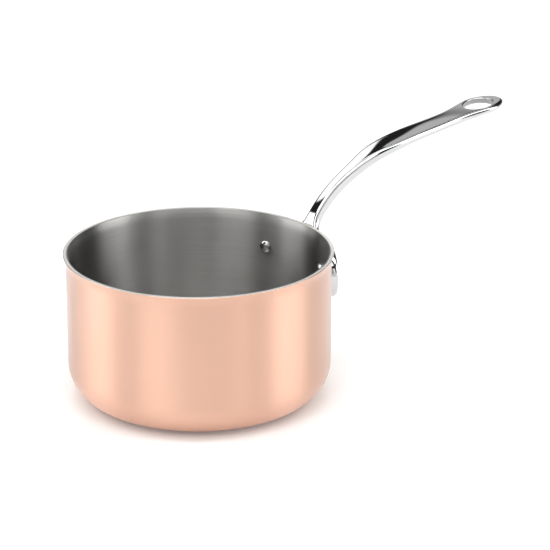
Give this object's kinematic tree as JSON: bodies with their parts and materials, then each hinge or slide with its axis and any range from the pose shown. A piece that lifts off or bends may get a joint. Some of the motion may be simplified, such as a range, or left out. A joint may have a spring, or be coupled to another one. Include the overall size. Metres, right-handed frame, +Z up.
{
  "type": "copper saucepan",
  "caption": "Small round saucepan of clad copper sheet with a steel lining, turned-out rim, and a long arched handle riveted to its side.",
  "frame": {"origin": "middle of the flat base, on the surface that the pan stands on", "axes": "+X from the pan's axis out along the handle, +Z up the pan's axis, +Y to the left of the handle seen from the pan"},
  "size_m": [0.327, 0.1632, 0.143],
  "materials": {
    "copper": "satin polished copper",
    "core_aluminium": "ground edge, otherwise bonded and hidden",
    "brushed_steel": "brushed round the axis",
    "polished_steel": "mirror polished cast stainless steel",
    "rivet_steel": "smooth stainless steel"
  },
  "bodies": {
    "root": {"copper_shell": "copper", "aluminium_core": "core_aluminium", "steel_lining": "brushed_steel", "handle": "polished_steel", "rivet_left": "rivet_steel", "rivet_right": "rivet_steel"}
  },
  "joints": []
}
